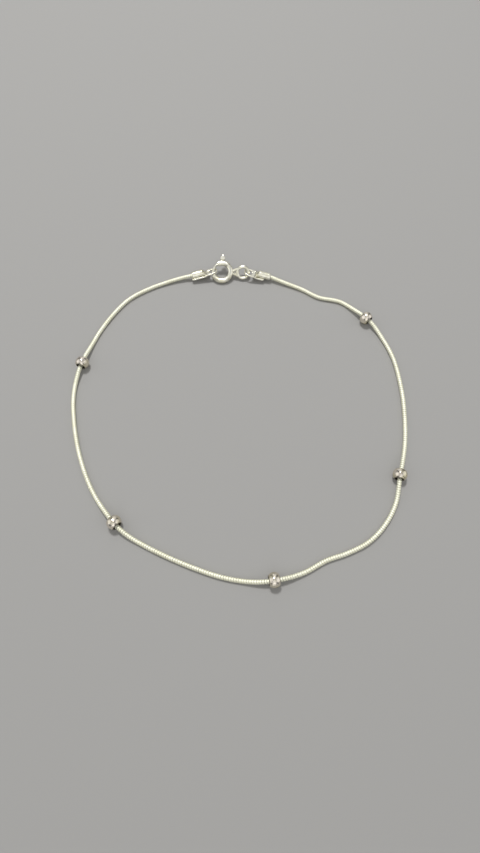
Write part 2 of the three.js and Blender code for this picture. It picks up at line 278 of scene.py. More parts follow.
def silver(name, color, film, soot_and_shade, roughness, scratch, ripple):
    """Worn silver: its clean colour, its yellow film, its groove soot with painted shade, and
    its polish.
    """
    material = bpy.data.materials.new(name)
    material.use_nodes = True
    shader = material.node_tree.nodes["Principled BSDF"]
    shader.inputs["Metallic"].default_value = 1.0
    graph = Graph(material.node_tree)
    place = graph.node("ShaderNodeTexCoord", output="Object")

    # The film lies in soft patches a millimetre or two across.
    patches = graph.node(
        "ShaderNodeTexNoise", inputs={"Vector": place, "Scale": FILM_SCALE, "Detail": 3.0}
    )
    filmed = graph.node(
        "ShaderNodeMapRange",
        inputs={0: patches, "From Min": FILM_FROM, "From Max": FILM_TO, "To Max": film},
    )
    tint = graph.mix(filmed, (*color, 1), FILM_COLOR)

    # Hair scratches run mostly one way on each of two crossed layers.
    strokes = []
    for angles, squeeze in HAIR_LAYERS:
        turned = graph.node(
            "ShaderNodeMapping",
            inputs={"Vector": place, "Rotation": angles, "Scale": squeeze},
        )
        strokes.append(graph.node(
            "ShaderNodeTexNoise", inputs={"Vector": turned, "Scale": HAIR_SCALE, "Detail": 2.0}
        ))
    scratched = strokes[0] * strokes[1]

    # Soot and painted shade fill the grooves from the bottom, and both film and soot dull the
    # polish.
    dull = roughness + scratch * scratched + FILM_DULLNESS * filmed
    recess = graph.node("ShaderNodeAttribute", {"attribute_name": "recess"}, output="Fac")
    soot_and_shade_mask = graph.node(
        "ShaderNodeMapRange",
        inputs={0: recess, "From Min": SOOT_AND_SHADE_FROM, "From Max": SOOT_AND_SHADE_TO, "To Max": soot_and_shade},
    )
    tint = graph.mix(soot_and_shade_mask, tint, SOOT_AND_SHADE_COLOR)
    dull = dull + SOOT_AND_SHADE_DULLNESS * soot_and_shade_mask
    graph.tree.links.new(tint.socket, shader.inputs["Base Color"])
    graph.tree.links.new(dull.socket, shader.inputs["Roughness"])

    # Hand polishing leaves a slight ripple under the scratches.
    waves = graph.node(
        "ShaderNodeTexNoise", inputs={"Vector": place, "Scale": RIPPLE_SCALE, "Detail": 1.0}
    )
    relief = ripple * waves + HAIR_DEPTH * scratch * scratched
    bump = graph.node(
        "ShaderNodeBump", inputs={"Height": relief, "Strength": 1.0, "Distance": RELIEF_DEPTH}
    )
    graph.tree.links.new(bump.socket, shader.inputs["Normal"])
    return material


# %% [markdown]
# ## Three finishes
#
# The chain looks satin, because each link is tiny and turned its own way, so its silver
# is rough and even. The beads are polished, but the most film lies on them, and a ripple
# breaks their reflections into spots. The caps and the clasp are polished too, with more
# scratches and with soot and painted shade left in every crease. One silver for all would
# be simpler, but then the chain would glitter and the beads would look flat.

# %% Mix three silvers
# Each silver's soot amount also sets how dark the painted shade is in its grooves and creases.
chain_silver = silver(
    "satin chain silver", (0.91, 0.905, 0.76), film=0.15, soot_and_shade=0.7,
    roughness=0.62, scratch=0.1, ripple=0.05,
)
bead_silver = silver(
    "polished bead silver", (0.88, 0.81, 0.71), film=0.75, soot_and_shade=0.8,
    roughness=0.12, scratch=0.16, ripple=0.95,
)
clasp_silver = silver(
    "polished clasp silver", (0.95, 0.93, 0.81), film=0.55, soot_and_shade=0.95,
    roughness=0.2, scratch=0.2, ripple=0.45,
)
print("finishes:", chain_silver.name, "|", bead_silver.name, "|", clasp_silver.name)

# %% [markdown]
# ## The chain's route
#
# The chain is a continuous line with a few gentle kinks, such as a chain keeps after it
# has been stored folded. The solid tube in the frame follows a smooth curve through a
# short list of points, and the visible links have to follow the same one, so the points
# and the rule for the height are repeated here. The height rises wherever the chain
# passes through a bead, because a loose bead holds it off the table, and towards each
# end cap.

# %% Draw the chain's plan
CHAIN_ROUTE = [
    (-8.2, 29.7), (-9.9, 29.3), (-11.6, 29.0), (-14.6, 28.1), (-18.5, 26.4),
    (-22.5, 23.7), (-25.5, 19.8), (-28.1, 14.8), (-29.9, 9.1), (-31.1, 2.9),
    (-30.4, -3.5), (-28.4, -10.7), (-25.3, -17.3), (-21.6, -22.1), (-18.5, -24.9),
    (-13.4, -27.6), (-7.6, -30.0), (-2.2, -31.7), (3.0, -32.4), (7.1, -32.0),
    (10.9, -30.9), (14.6, -29.0), (18.2, -27.8), (21.9, -26.0), (25.0, -23.1),
    (27.3, -19.3), (28.4, -14.8), (30.2, -8.9), (31.0, -2.7), (31.1, 3.3),
    (30.3, 9.9), (28.0, 15.6), (24.8, 19.6), (21.3, 22.9), (16.8, 24.1),
    (13.5, 26.1), (10.4, 27.5), (8.5, 28.3), (6.8, 29.0), (5.0, 29.4),
]
POINTS_PER_SPAN = 60


def smooth_line(corners, per_span):
    """A Catmull-Rom curve through the corners, as many points to each span as asked."""
    corners = np.array(corners, float)
    before = 2 * corners[0] - corners[1]
    after = 2 * corners[-1] - corners[-2]
    posts = np.vstack([before, corners, after])
    t = np.linspace(0, 1, per_span, endpoint=False)[:, None]
    spans = []
    for a, b, c, d in zip(posts, posts[1:], posts[2:], posts[3:]):
        leaving, arriving = (c - a) / 2, (d - b) / 2
        bend = 3 * (c - b) - 2 * leaving - arriving
        twist = 2 * (b - c) + leaving + arriving
        spans.append(b + leaving * t + bend * t**2 + twist * t**3)
    return np.vstack([*spans, corners[-1:]])


plan = smooth_line(CHAIN_ROUTE, POINTS_PER_SPAN)
plan_distance = np.append(0, np.cumsum(np.linalg.norm(np.diff(plan, axis=0), axis=1)))
plan_length = plan_distance[-1]
print(f"plan: {plan_length:.1f} mm through {len(CHAIN_ROUTE)} points")

# %% Raise the plan to the centre line
CHAIN_HEIGHT = 0.41
# Where the beads sit along the plan, and how far each lifts the chain on either side.
BEAD_PLACES = [33.3, 67.0, 96.0, 126.9, 161.4]
BEAD_DIAMETER = 2.5
BEAD_SLACK = 0.1
BEAD_HUMP = 6.5
# How high the caps' mouths are, how long the rise to them is, and the chain inside a cap.
CAP_MOUTH_HEIGHT = 0.94
CAP_RISE = 8.5
CAP_INSERTION = 1.75
STEP_ALONG = 0.1


def lift(distance):
    """How far the centre line is raised at a distance along the plan."""
    raised = np.zeros_like(distance)
    hump = BEAD_DIAMETER / 2 - BEAD_SLACK - CHAIN_HEIGHT
    for place in BEAD_PLACES:
        u = np.minimum(1, np.abs(distance - place) / BEAD_HUMP)
        raised += hump * (1 - u * u) ** 3
    gain = CAP_MOUTH_HEIGHT - CHAIN_HEIGHT
    for from_end in (distance, plan_length - distance):
        risen = np.maximum(0, (CAP_RISE + CAP_INSERTION - from_end) / CAP_RISE)
        raised += gain * np.where(risen > 1, 2 * risen - 1, risen**2)
    return raised


def centre_line(distance):
    """Points of the centre line at these distances along the plan."""
    x = np.interp(distance, plan_distance, plan[:, 0])
    y = np.interp(distance, plan_distance, plan[:, 1])
    return np.column_stack([x, y, CHAIN_HEIGHT + lift(distance)])


line = centre_line(np.arange(0, plan_length, STEP_ALONG))
line_length = np.linalg.norm(np.diff(line, axis=0), axis=1).sum()
print(f"centre line: {line_length:.1f} mm of chain in {len(line)} points")

# %% [markdown]
# ## Putting finished meshes in their place
#
# A finished piece keeps its object at the origin and carries its place in its mesh, as
# the frame's own solids do. Patterns in the metal then stay put when the clasp moves.


# %% Helpers that make and place meshes
def draft(name, points, faces, edges=()):
    """A new mesh object, in millimetres."""
    mesh = bpy.data.meshes.new(name)
    mesh.from_pydata([tuple(p) for p in points], list(edges), list(faces))
    piece = bpy.data.objects.new(name, mesh)
    bpy.context.scene.collection.objects.link(piece)
    return piece


def finish_piece(piece, placement, material, body, slot, *nodes):
    """Bakes the modifiers, moves the mesh to its place in metres and ties it to its body."""
    bpy.context.view_layer.update()
    evaluated = piece.evaluated_get(bpy.context.evaluated_depsgraph_get())
    mesh = bpy.data.meshes.new_from_object(evaluated)
    piece.modifiers.clear()
    piece.data = mesh
    mesh.transform(Matrix.Scale(MM, 4) @ placement)
    mesh.shade_smooth()
    mesh.materials.clear()
    mesh.materials.append(material)
    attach(piece, body)
    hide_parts(*nodes)
    triangles = sum(len(p.vertices) - 2 for p in mesh.polygons)
    print(f"{piece.name}: {triangles} triangles on {body}")
    return piece


# %% [markdown]
# ## The links of the chain
#
# A round snake chain is made of small bent plates, pressed so close that they make a
# tube with fine ribs. Each plate is saddle-shaped: two opposite sides lean forwards and
# the other two backwards, which is what lets the tube bend every way. There are more
# than four hundred, all alike, so this is work for Geometry Nodes: one link is a small
# grid wrapped into a ring, and the tree repeats it along the centre line. A smooth tube
# with the ribs as bump would be lighter, but its outline would stay smooth, and on this
# chain the ribs can be felt. A link is hidden on its inside and needs only a few dozen
# faces.

# %% One link
LINK_SIDES = 12
LINK_BANDS = 7
# Half a link's length, as a share of the pitch: just over a half, so the links overlap.
LINK_REACH = 0.53
# The bands lie closer together where a link shows: 1 would space them evenly.
BAND_SPACING = 0.55


def one_link(graph, given):
    """A unit grid whose X goes round the chain and whose Y goes round the rib, wrapped."""
    sheet = graph.node("GeometryNodeMeshGrid", inputs={
        "Size X": 1.0, "Size Y": 1.0,
        "Vertices X": LINK_SIDES + 1, "Vertices Y": LINK_BANDS + 1,
    })
    grid_place = graph.node("GeometryNodeInputPosition")
    around = graph.node("ShaderNodeSeparateXYZ", inputs={0: grid_place}, output="X") * math.tau
    across = graph.node("ShaderNodeSeparateXYZ", inputs={0: grid_place}, output="Y")
    over = math.tau * across * (BAND_SPACING + 4 * (1 - BAND_SPACING) * across * across)
    inward = 0.5 - 0.5 * over.math("COSINE", over)
    distance = given["Radius"] - given["Rib depth"] * inward * inward
    saddle = given["Saddle"] * around.math("COSINE", 2 * around)
    along = LINK_REACH * given["Pitch"] * over.math("SINE", over) + saddle
    wrapped = graph.node("ShaderNodeCombineXYZ", inputs={
        "X": distance * around.math("COSINE", around),
        "Y": distance * around.math("SINE", around),
        "Z": along,
    })
    # How deep a point lies in the groove between ribs; the chain's silver takes soot and painted
    # shade there.
    marked = graph.node(
        "GeometryNodeStoreNamedAttribute",
        {"data_type": "FLOAT", "domain": "POINT"},
        {"Geometry": sheet, "Name": "recess", "Value": inward},
    )
    ring = graph.node(
        "GeometryNodeSetPosition", inputs={"Geometry": marked, "Position": wrapped}
    )
    return graph.node(
        "GeometryNodeMergeByDistance", inputs={"Geometry": ring, "Distance": 0.001}
    )


# %% The tree that strings the links
def link_tree():
    """Repeats one saddle-shaped link along a line of edges."""
    tree = bpy.data.node_groups.new("snake chain links", "GeometryNodeTree")
    kinds = {
        "Centre line": "Geometry", "Pitch": "Float", "Radius": "Float",
        "Rib depth": "Float", "Saddle": "Float", "Looseness": "Float",
        "Seed": "Int", "Silver": "Material",
    }
    for name, kind in kinds.items():
        tree.interface.new_socket(name, in_out="INPUT", socket_type=f"NodeSocket{kind}")
    tree.interface.new_socket("Links", in_out="OUTPUT", socket_type="NodeSocketGeometry")
    graph = Graph(tree)
    entry = tree.nodes.new("NodeGroupInput")
    given = {name: Output(graph, entry.outputs[name]) for name in kinds}
    link = one_link(graph, given)

    # The line: one link to each pitch, square to the line, with its saddle kept upright.
    curve = graph.node("GeometryNodeMeshToCurve", inputs={"Mesh": given["Centre line"]})
    upright = graph.node("GeometryNodeSetCurveNormal", {"mode": "Z_UP"}, {"Curve": curve})
    spaced = {"Curve": upright, "Length": given["Pitch"]}
    points = graph.node(
        "GeometryNodeCurveToPoints", {"mode": "LENGTH"}, spaced, output="Points"
    )
    facing = Output(graph, points.socket.node.outputs["Rotation"])

    # Each link is turned a little out of true, as in a chain that has been worn.
    wobble = graph.node("FunctionNodeRandomValue", {"data_type": "FLOAT_VECTOR"}, {
        "Min": (-1, -1, -1), "Max": (1, 1, 1), "Seed": given["Seed"],
    })
    slack = graph.node("ShaderNodeVectorMath", {"operation": "SCALE"}, {
        0: wobble, "Scale": given["Looseness"],
    })
    slack_turn = graph.node("FunctionNodeEulerToRotation", inputs={"Euler": slack})
    turned = graph.node("FunctionNodeRotateRotation", {"rotation_space": "LOCAL"}, {
        "Rotation": facing, "Rotate By": slack_turn,
    })
    links = graph.node("GeometryNodeInstanceOnPoints", inputs={
        "Points": points, "Instance": link, "Rotation": turned,
    })
    solid = graph.node("GeometryNodeRealizeInstances", inputs={"Geometry": links})
    silvered = graph.node("GeometryNodeSetMaterial", inputs={
        "Geometry": solid, "Material": given["Silver"],
    })
    leave = tree.nodes.new("NodeGroupOutput")
    tree.links.new(silvered.socket, leave.inputs["Links"])
    return tree


def set_inputs(modifier, values):
    """Sets a modifier's inputs by their sockets' identifiers."""
    for item in modifier.node_group.interface.items_tree:
        if item.in_out == "INPUT" and item.name in values:
            modifier[item.identifier] = values[item.name]


# %% Make the chain
CHAIN_DIAMETER = 0.8
LINK_PITCH = 0.42

line_edges = [(i, i + 1) for i in range(len(line) - 1)]
chain = draft("chain_links", line, [], line_edges)
links_modifier = chain.modifiers.new("links", "NODES")
links_modifier.node_group = link_tree()
set_inputs(links_modifier, {
    "Pitch": LINK_PITCH,
    "Radius": CHAIN_DIAMETER / 2,
    "Rib depth": 0.1,
    "Saddle": 0.07,
    "Looseness": 0.03,
    "Seed": 7,
    "Silver": chain_silver,
})
finish_piece(
    chain, Matrix.Identity(4), chain_silver, "bracelet", "chain_silver", "chain"
)
print(f"{line_length / LINK_PITCH:.0f} links")

# %% [markdown]
# ## The beads
#
# The beads are rondelles: short hollow drums with a rounded belly. Each end is pressed
# slightly inwards round its hole, and the edge of the hole is rounded over, so it
# catches a thin bright line. Dirt stays round the hole, where polishing doesn't reach,
# and the metal there is painted darker still as the shade of the hole.
#
# A bead could be a squashed ball with a hole cut through it, but the cut would leave a
# sharp edge and untidy faces. A turned shape is one profile carried round an axis, so
# the profile is drawn from arcs, and the turning is a loop over rings of points.

# %% Draw the bead's profile
BEAD_LENGTH = 1.9
BEAD_BORE = 1.44
BEAD_DISH = 0.08
BEAD_END_ANGLE = math.radians(48)
BEAD_SIDES = 72
BELLY_STEPS = 12
# The share of the belly's arc that is left before the shoulder is rounded off.
BELLY_SHARE = 0.66
SHOULDER_ROUND = 0.07
LIP_ROUND = 0.05
LIP_DEPTH = 0.08
WALL_STEPS = (0.6, 0.3)


def rounded_corner(before, corner, after, steps=5):
    """Points from before to after that round off the corner between them."""
    before, corner, after = Vector(before), Vector(corner), Vector(after)
    points = []
    for i in range(steps + 1):
        t = i / steps
        points.append((1 - t) ** 2 * before + 2 * t * (1 - t) * corner + t * t * after)
    return points


def bead_profile():
    """Half of a bead's closed outline is drawn and mirrored: radius and place along."""
    half = BEAD_LENGTH / 2
    belly_end = BEAD_END_ANGLE * BELLY_SHARE
    radius = BEAD_DIAMETER / 2
    bore = BEAD_BORE / 2

    def belly(angle):
        return (radius * math.cos(angle), half * math.sin(angle) / math.sin(BEAD_END_ANGLE))

    arc = [Vector(belly(belly_end * i / BELLY_STEPS)) for i in range(BELLY_STEPS)]
    shoulder = belly(BEAD_END_ANGLE)
    slope = BEAD_DISH / (shoulder[0] - bore)
    face = (shoulder[0] - SHOULDER_ROUND, half - SHOULDER_ROUND * slope)
    rim = rounded_corner(belly(belly_end), shoulder, face)
    lip = rounded_corner(
        (bore + LIP_ROUND, half - BEAD_DISH + LIP_ROUND * slope),
        (bore, half - BEAD_DISH),
        (bore, half - BEAD_DISH - LIP_DEPTH),
    )
    wall = [Vector((bore, y)) for y in WALL_STEPS]
    upper = [*arc, *rim, *lip, *wall]
    lower = [Vector((p.x, -p.y)) for p in upper[:0:-1]]
    return [*upper, Vector((bore, 0)), *lower]


def turned(profile, sides):
    """Carries a closed profile round the Z axis: points and four-sided faces."""
    points, faces = [], []
    for i in range(sides):
        angle = math.tau * i / sides
        points += [(r * math.cos(angle), r * math.sin(angle), z) for r, z in profile]
    count = len(profile)
    for i in range(sides):
        here, there = i * count, (i + 1) % sides * count
        for j in range(count):
            k = (j + 1) % count
            faces.append((here + j, there + j, there + k, here + k))
    return points, faces


# %% Thread the beads
# A bead's metal is bare beyond this share of its radius, and fully darkened by dirt and painted
# shade this near to its hole.
BARE_METAL_SHARE = 0.78
DARKEST_MARGIN = 0.04

bead_points, bead_faces = turned(bead_profile(), BEAD_SIDES)
bead_reach = np.array([math.hypot(x, y) for x, y, _ in bead_points])
bare_metal_from = BARE_METAL_SHARE * BEAD_DIAMETER / 2
darkest_from = BEAD_BORE / 2 + DARKEST_MARGIN
bead_dirt_and_shade = np.clip((bare_metal_from - bead_reach) / (bare_metal_from - darkest_from), 0, 1)
for number, place in enumerate(BEAD_PLACES, 1):
    low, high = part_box(f"bead_{number}")
    middle = (low + high) / 2 / MM
    # Two points of the line, close together, say which way the chain runs here.
    ends = centre_line(np.array([place - 0.01, place + 0.01]))
    run = Vector((*(ends[1] - ends[0])[:2], 0))
    aim = run.to_track_quat("Z", "Y").to_matrix().to_4x4()
    # Every bead has rolled a different way round the chain.
    roll = Matrix.Rotation(number, 4, "Z")
    bead = draft(f"polished_bead_{number}", bead_points, bead_faces)
    recess = bead.data.attributes.new("recess", "FLOAT", "POINT")
    recess.data.foreach_set("value", bead_dirt_and_shade)
    placement = Matrix.Translation(middle) @ aim @ roll
    finish_piece(bead, placement, bead_silver, "bracelet", "bead_silver", f"bead_{number}")

# %% [markdown]
# ## Cast and soldered pieces
#
# The caps and the clasp are small castings and bent tubes, soldered and then tumbled.
# No edge on them is sharp, and every join has a soft fillet of solder. One way to get
# this is to bevel each edge by hand. A simpler one, used here, does what the workshop
# does: the rough shapes are joined and drilled as solids, then the whole is melted
# together by a voxel remesh and tumbled by a little smoothing.
#
# Tumbling can't clean the creases between the parts, so soot stays there, and the silver
# is painted darker there still as painted shade. A point is in a crease where it lies
# below a copy of the surface that has been smoothed much more, and its depth there
# becomes its `recess`.


# %% Helpers for rough shapes
def ring_faces(rings, sides, closed=False):
    """Four-sided faces between rings of points, and a face over each end."""
    faces = []
    for r in range(rings if closed else rings - 1):
        here, there = r * sides, (r + 1) % rings * sides
        for i in range(sides):
            j = (i + 1) % sides
            faces.append((here + i, here + j, there + j, there + i))
    if not closed:
        faces.append(tuple(reversed(range(sides))))
        faces.append(tuple(range((rings - 1) * sides, rings * sides)))
    return faces


def bar_section(angle, ring_radius, bar_diameter, sides):
    """Points round a bent bar, where it passes this angle about the origin."""
    outward = Vector((math.cos(angle), math.sin(angle), 0))
    points = []
    for j in range(sides):
        turn = math.tau * j / sides
        reach = ring_radius + bar_diameter / 2 * math.cos(turn)
        points.append(outward * reach + Vector((0, 0, bar_diameter / 2 * math.sin(turn))))
    return points


def bent_bar(name, ring_radius, bar_diameter, from_angle, to_angle, steps=72, sides=32):
    """A round bar bent to an arc about the origin, in the XY plane."""
    points = []
    for i in range(steps + 1):
        angle = math.radians(from_angle + (to_angle - from_angle) * i / steps)
        points += bar_section(angle, ring_radius, bar_diameter, sides)
    return draft(name, points, [tuple(reversed(f)) for f in ring_faces(steps + 1, sides)])


def straight_bar(name, start, end, diameter, sides=32):
    """A round bar between two points."""
    run = Vector(end) - Vector(start)
    aim = run.to_track_quat("Z", "Y").to_matrix()
    points = []
    for along in (Vector(start), Vector(end)):
        for j in range(sides):
            turn = math.tau * j / sides
            edge = Vector((math.cos(turn), math.sin(turn), 0)) * diameter / 2
            points.append(along + aim @ edge)
    return draft(name, points, ring_faces(2, sides))


# %% Melt, tumble and mark the creases
CREASE_ROUNDS = 24
CREASE_DEPTH = 0.035


def mark_creases(mesh):
    """Stores how far each point lies in a crease: below a much smoothed surface."""
    count = len(mesh.vertices)
    points = np.empty(3 * count)
    normals = np.empty(3 * count)
    mesh.vertices.foreach_get("co", points)
    mesh.vertices.foreach_get("normal", normals)
    points, normals = points.reshape(-1, 3), normals.reshape(-1, 3)
    edges = np.empty(2 * len(mesh.edges), int)
    mesh.edges.foreach_get("vertices", edges)
    one, other = edges.reshape(-1, 2).T
    neighbours = np.bincount(one, minlength=count) + np.bincount(other, minlength=count)
    smoothed = points.copy()
    for _ in range(CREASE_ROUNDS):
        for axis in range(3):
            value = smoothed[:, axis]
            total = np.bincount(one, value[other], count) + np.bincount(other, value[one], count)
            smoothed[:, axis] = 0.5 * value + 0.5 * total / neighbours
    sunk = np.einsum("ij,ij->i", smoothed - points, normals)
    recess = mesh.attributes.new("recess", "FLOAT", "POINT")
    # This depth darkens the silver with soot and painted shade.
    recess.data.foreach_set("value", np.clip(sunk / CREASE_DEPTH, 0, 1))


def melted(name, added, cut, voxel, tumbling):
    """Joins rough solids, cuts others away, then melts and tumbles what is left."""
    body = added[0]
    jobs = [(tool, "UNION") for tool in added[1:]] + [(tool, "DIFFERENCE") for tool in cut]
    for tool, operation in jobs:
        step = body.modifiers.new(operation, "BOOLEAN")
        step.operation = operation
        step.solver = "EXACT"
        step.object = tool
    melt = body.modifiers.new("melt", "REMESH")
    melt.mode = "VOXEL"
    melt.voxel_size = voxel
    tumble = body.modifiers.new("tumble", "SMOOTH")
    tumble.factor = 0.5
    tumble.iterations = tumbling
    bpy.context.view_layer.update()
    evaluated = body.evaluated_get(bpy.context.evaluated_depsgraph_get())
    mesh = bpy.data.meshes.new_from_object(evaluated)
    for rough in [*added, *cut]:
        bpy.data.objects.remove(rough)
    piece = bpy.data.objects.new(name, mesh)
    bpy.context.scene.collection.objects.link(piece)
    mark_creases(mesh)
    return piece


# %% [markdown]
# ## The end caps
#
# Each cap is cut from a narrow strip of sheet with a short piece of tube laid along its
# top. The tube takes the end of the chain and is pressed down into the strip behind it.
# The strip's free end is a tab with a shallow groove, a round tip and a hole for the
# clasp. The strip's edges stand out a little below the tube on both sides, and soot
# gathers in the line where the two meet, darkened further as painted shade.
#
# A cap could be carved as one block, but the line between tube and strip would then have
# to be carved too. Made of the same two parts as the real one, it gets that line by
# itself. Both parts are rows of sections along X, from the mouth to the tip, that are
# joined and drilled as solids.

# %% The cap's tube
CAP_TUBE_DIAMETER = 1.46
CAP_LIP = 0.16
CAP_LIP_ROUND = 0.11
CAP_TAIL = [
    # at, width, height, centre
    (2.4, 1.46, 1.46, 0.0),
    (2.6, 1.54, 1.30, -0.06),
    (2.8, 1.6, 1.04, -0.17),
    (3.0, 1.62, 0.66, -0.30),
    (3.2, 1.6, 0.28, -0.41),
]
CAP_SIDES = 48


def rounded_mouth(start, full_width, depth, inset):
    """Places and widths of sections that widen in a quarter round to the full width."""
    sections = []
    for degrees in range(0, 91, 15):
        angle = math.radians(degrees)
        at = start + depth * (1 - math.cos(angle))
        sections.append((at, full_width - 2 * inset * (1 - math.sin(angle))))
    return sections


def cap_tube(name, tube_from):
    """The tube with its rounded mouth, pressed flat at its other end."""
    mouth = rounded_mouth(tube_from, CAP_TUBE_DIAMETER, CAP_LIP, CAP_LIP_ROUND)
    sections = [(at, width, width, 0.0) for at, width in mouth] + CAP_TAIL
    points = []
    for at, width, height, centre in sections:
        for j in range(CAP_SIDES):
            turn = math.tau * j / CAP_SIDES
            across = width / 2 * math.cos(turn)
            points.append((at, across, centre + height / 2 * math.sin(turn)))
    return draft(name, points, ring_faces(len(sections), CAP_SIDES))


# %% The cap's strip
STRIP_WIDTH = 2.24
STRIP_THICKNESS = 0.34
STRIP_BEVEL = 0.08
STRIP_CORNER = 0.35
STRIP_BELOW, STRIP_ABOVE = -0.5, -0.3
BEND_FROM, BEND_TO = 2.7, 3.5
BEND_STEPS = 8
CAP_TIP_FROM = 4.1
CAP_TIP_LENGTH = 1.52
# The tip's arc stops here, in degrees, and leaves a narrow blunt end.
CAP_TIP_END = 78
# Near the tip the bevels may leave no less of the face than this share.
LEAST_FACE = 0.3


def strip_height(at):
    """The height of the strip's middle, which steps up softly behind the tube."""
    risen = min(1, max(0, (at - BEND_FROM) / (BEND_TO - BEND_FROM)))
    return STRIP_BELOW + (STRIP_ABOVE - STRIP_BELOW) * risen * risen * (3 - 2 * risen)


def cap_strip(name, strip_from):
    """The strip, with round corners at the mouth and a round tip."""
    sections = rounded_mouth(strip_from, STRIP_WIDTH, STRIP_CORNER, STRIP_CORNER)
    for i in range(BEND_STEPS):
        sections.append((BEND_FROM + (BEND_TO - BEND_FROM) * i / BEND_STEPS, STRIP_WIDTH))
    for degrees in range(0, CAP_TIP_END + 1, 6):
        angle = math.radians(degrees)
        at = CAP_TIP_FROM + CAP_TIP_LENGTH * math.sin(angle)
        sections.append((at, STRIP_WIDTH * math.cos(angle)))
    face, bevel = STRIP_THICKNESS / 2, STRIP_BEVEL
    points = []
    for at, width in sections:
        outer = width / 2
        inner = max(LEAST_FACE * outer, outer - bevel)
        middle = strip_height(at)
        for across, up in [
            (outer, face - bevel), (inner, face), (-inner, face), (-outer, face - bevel),
            (-outer, bevel - face), (-inner, -face), (inner, -face), (outer, bevel - face),
        ]:
            points.append((at, across, middle + up))
    return draft(name, points, ring_faces(len(sections), 8))


# %% The cap's groove and hole
GROOVE_FROM, GROOVE_TO = 3.3, 4.3
GROOVE_WIDTH = 1.2
GROOVE_DEPTH = 0.1
# The groove's ends are flatter than half rounds: 1 would be a full half round.
GROOVE_END = 0.4
# Its floor is a little smaller than its edge, and its wall leans over this height.
GROOVE_FLOOR = 0.8
GROOVE_LEAN = 0.04
CUTTER_HEIGHT = 0.5
CAP_HOLE_AT = 4.62
CAP_HOLE_DIAMETER = 1.5
CAP_HOLE_FLARE = 1.8
CAP_HOLE_HEIGHT = 0.8
CAP_HOLE_STRAIGHT = 0.12


def cap_groove(name):
    """A shallow trough with round ends, pressed into the top of the tab."""
    radius = GROOVE_WIDTH / 2
    length = GROOVE_TO - GROOVE_FROM - 2 * GROOVE_END * radius
    middle = (GROOVE_FROM + GROOVE_TO) / 2
    floor = STRIP_ABOVE + STRIP_THICKNESS / 2 - GROOVE_DEPTH
    rows = [(floor, GROOVE_FLOOR), (floor + GROOVE_LEAN, 1.0), (floor + CUTTER_HEIGHT, 1.0)]
    points = []
    for up, share in rows:
        for j in range(CAP_SIDES):
            turn = math.tau * j / CAP_SIDES
            end = math.copysign(length / 2, math.cos(turn))
            points.append((
                middle + end + GROOVE_END * radius * share * math.cos(turn),
                radius * share * math.copysign(abs(math.sin(turn)) ** 0.5, math.sin(turn)),
                up,
            ))
    return draft(name, points, ring_faces(len(rows), CAP_SIDES))


def cap_hole(name):
    """The tab's hole, worn wider at both faces than in its middle."""
    reach, waist = CAP_HOLE_HEIGHT / 2, CAP_HOLE_STRAIGHT / 2
    rows = [
        (CAP_HOLE_FLARE / 2, -reach), (CAP_HOLE_DIAMETER / 2, -waist),
        (CAP_HOLE_DIAMETER / 2, waist), (CAP_HOLE_FLARE / 2, reach),
    ]
    points = []
    for radius, up in rows:
        for j in range(CAP_SIDES):
            turn = math.tau * j / CAP_SIDES
            across = radius * math.sin(turn)
            points.append((CAP_HOLE_AT + radius * math.cos(turn), across, STRIP_ABOVE + up))
    return draft(name, points, ring_faces(len(rows), CAP_SIDES))


# %% [markdown]
# ## Where the clasp hangs
#
# The clasp's bolt turns about the middle of the ring, so the joint in the frame already
# says where that middle is and which way the ring faces. The ring's own X axis runs from
# its middle to the eye and is level, which settles the rest.

# %% The clasp's own axes
joint = frame["joints"][0]
ring_up = -Vector(joint["axis"])
ring_x = Vector((-ring_up.y, ring_up.x, 0)).normalized()
ring_y = ring_up.cross(ring_x)
clasp_place = Matrix((ring_x, ring_y, ring_up)).transposed().to_4x4()
clasp_place.translation = Vector(joint["pos_m"]) / MM

RING_RADIUS = 1.84
EYE_DISTANCE = 4.42
EYE_RADIUS = 1.14
# Where on the bolt's wire the left cap hangs, about the ring's middle.
LEFT_LINK_ANGLE = math.radians(178.5)
left_link = clasp_place @ Vector((
    RING_RADIUS * math.cos(LEFT_LINK_ANGLE), RING_RADIUS * math.sin(LEFT_LINK_ANGLE), 0
))
right_link = clasp_place @ Vector((EYE_DISTANCE + EYE_RADIUS, 0, 0))
print("ring middle", [round(v, 2) for v in clasp_place.translation])

# %% [markdown]
# ## Hanging the caps
#
# A cap is held in two places. Its mouth is over the end of the chain, and its hole hangs
# on the clasp: the left one on the bolt's wire, the right one on the far side of the
# eye. The turns that do this could be set by eye. Worked out from those two places, they
# make each cap meet both, wherever the clasp lies. What stays free is a cap's roll, and
# each has a few degrees of it, as such ends take when they lie loose.

# %% Press and place the caps
CAP_SOCKET_DIAMETER = 1.14
CAP_SOCKET_DEPTH = 2.0


def bearing(direction):
    """Which way a direction points, seen from above."""
    return math.atan2(direction.y, direction.x)


def climb(direction):
    """How steeply a direction rises."""
    return math.atan2(direction.z, math.hypot(direction.x, direction.y))


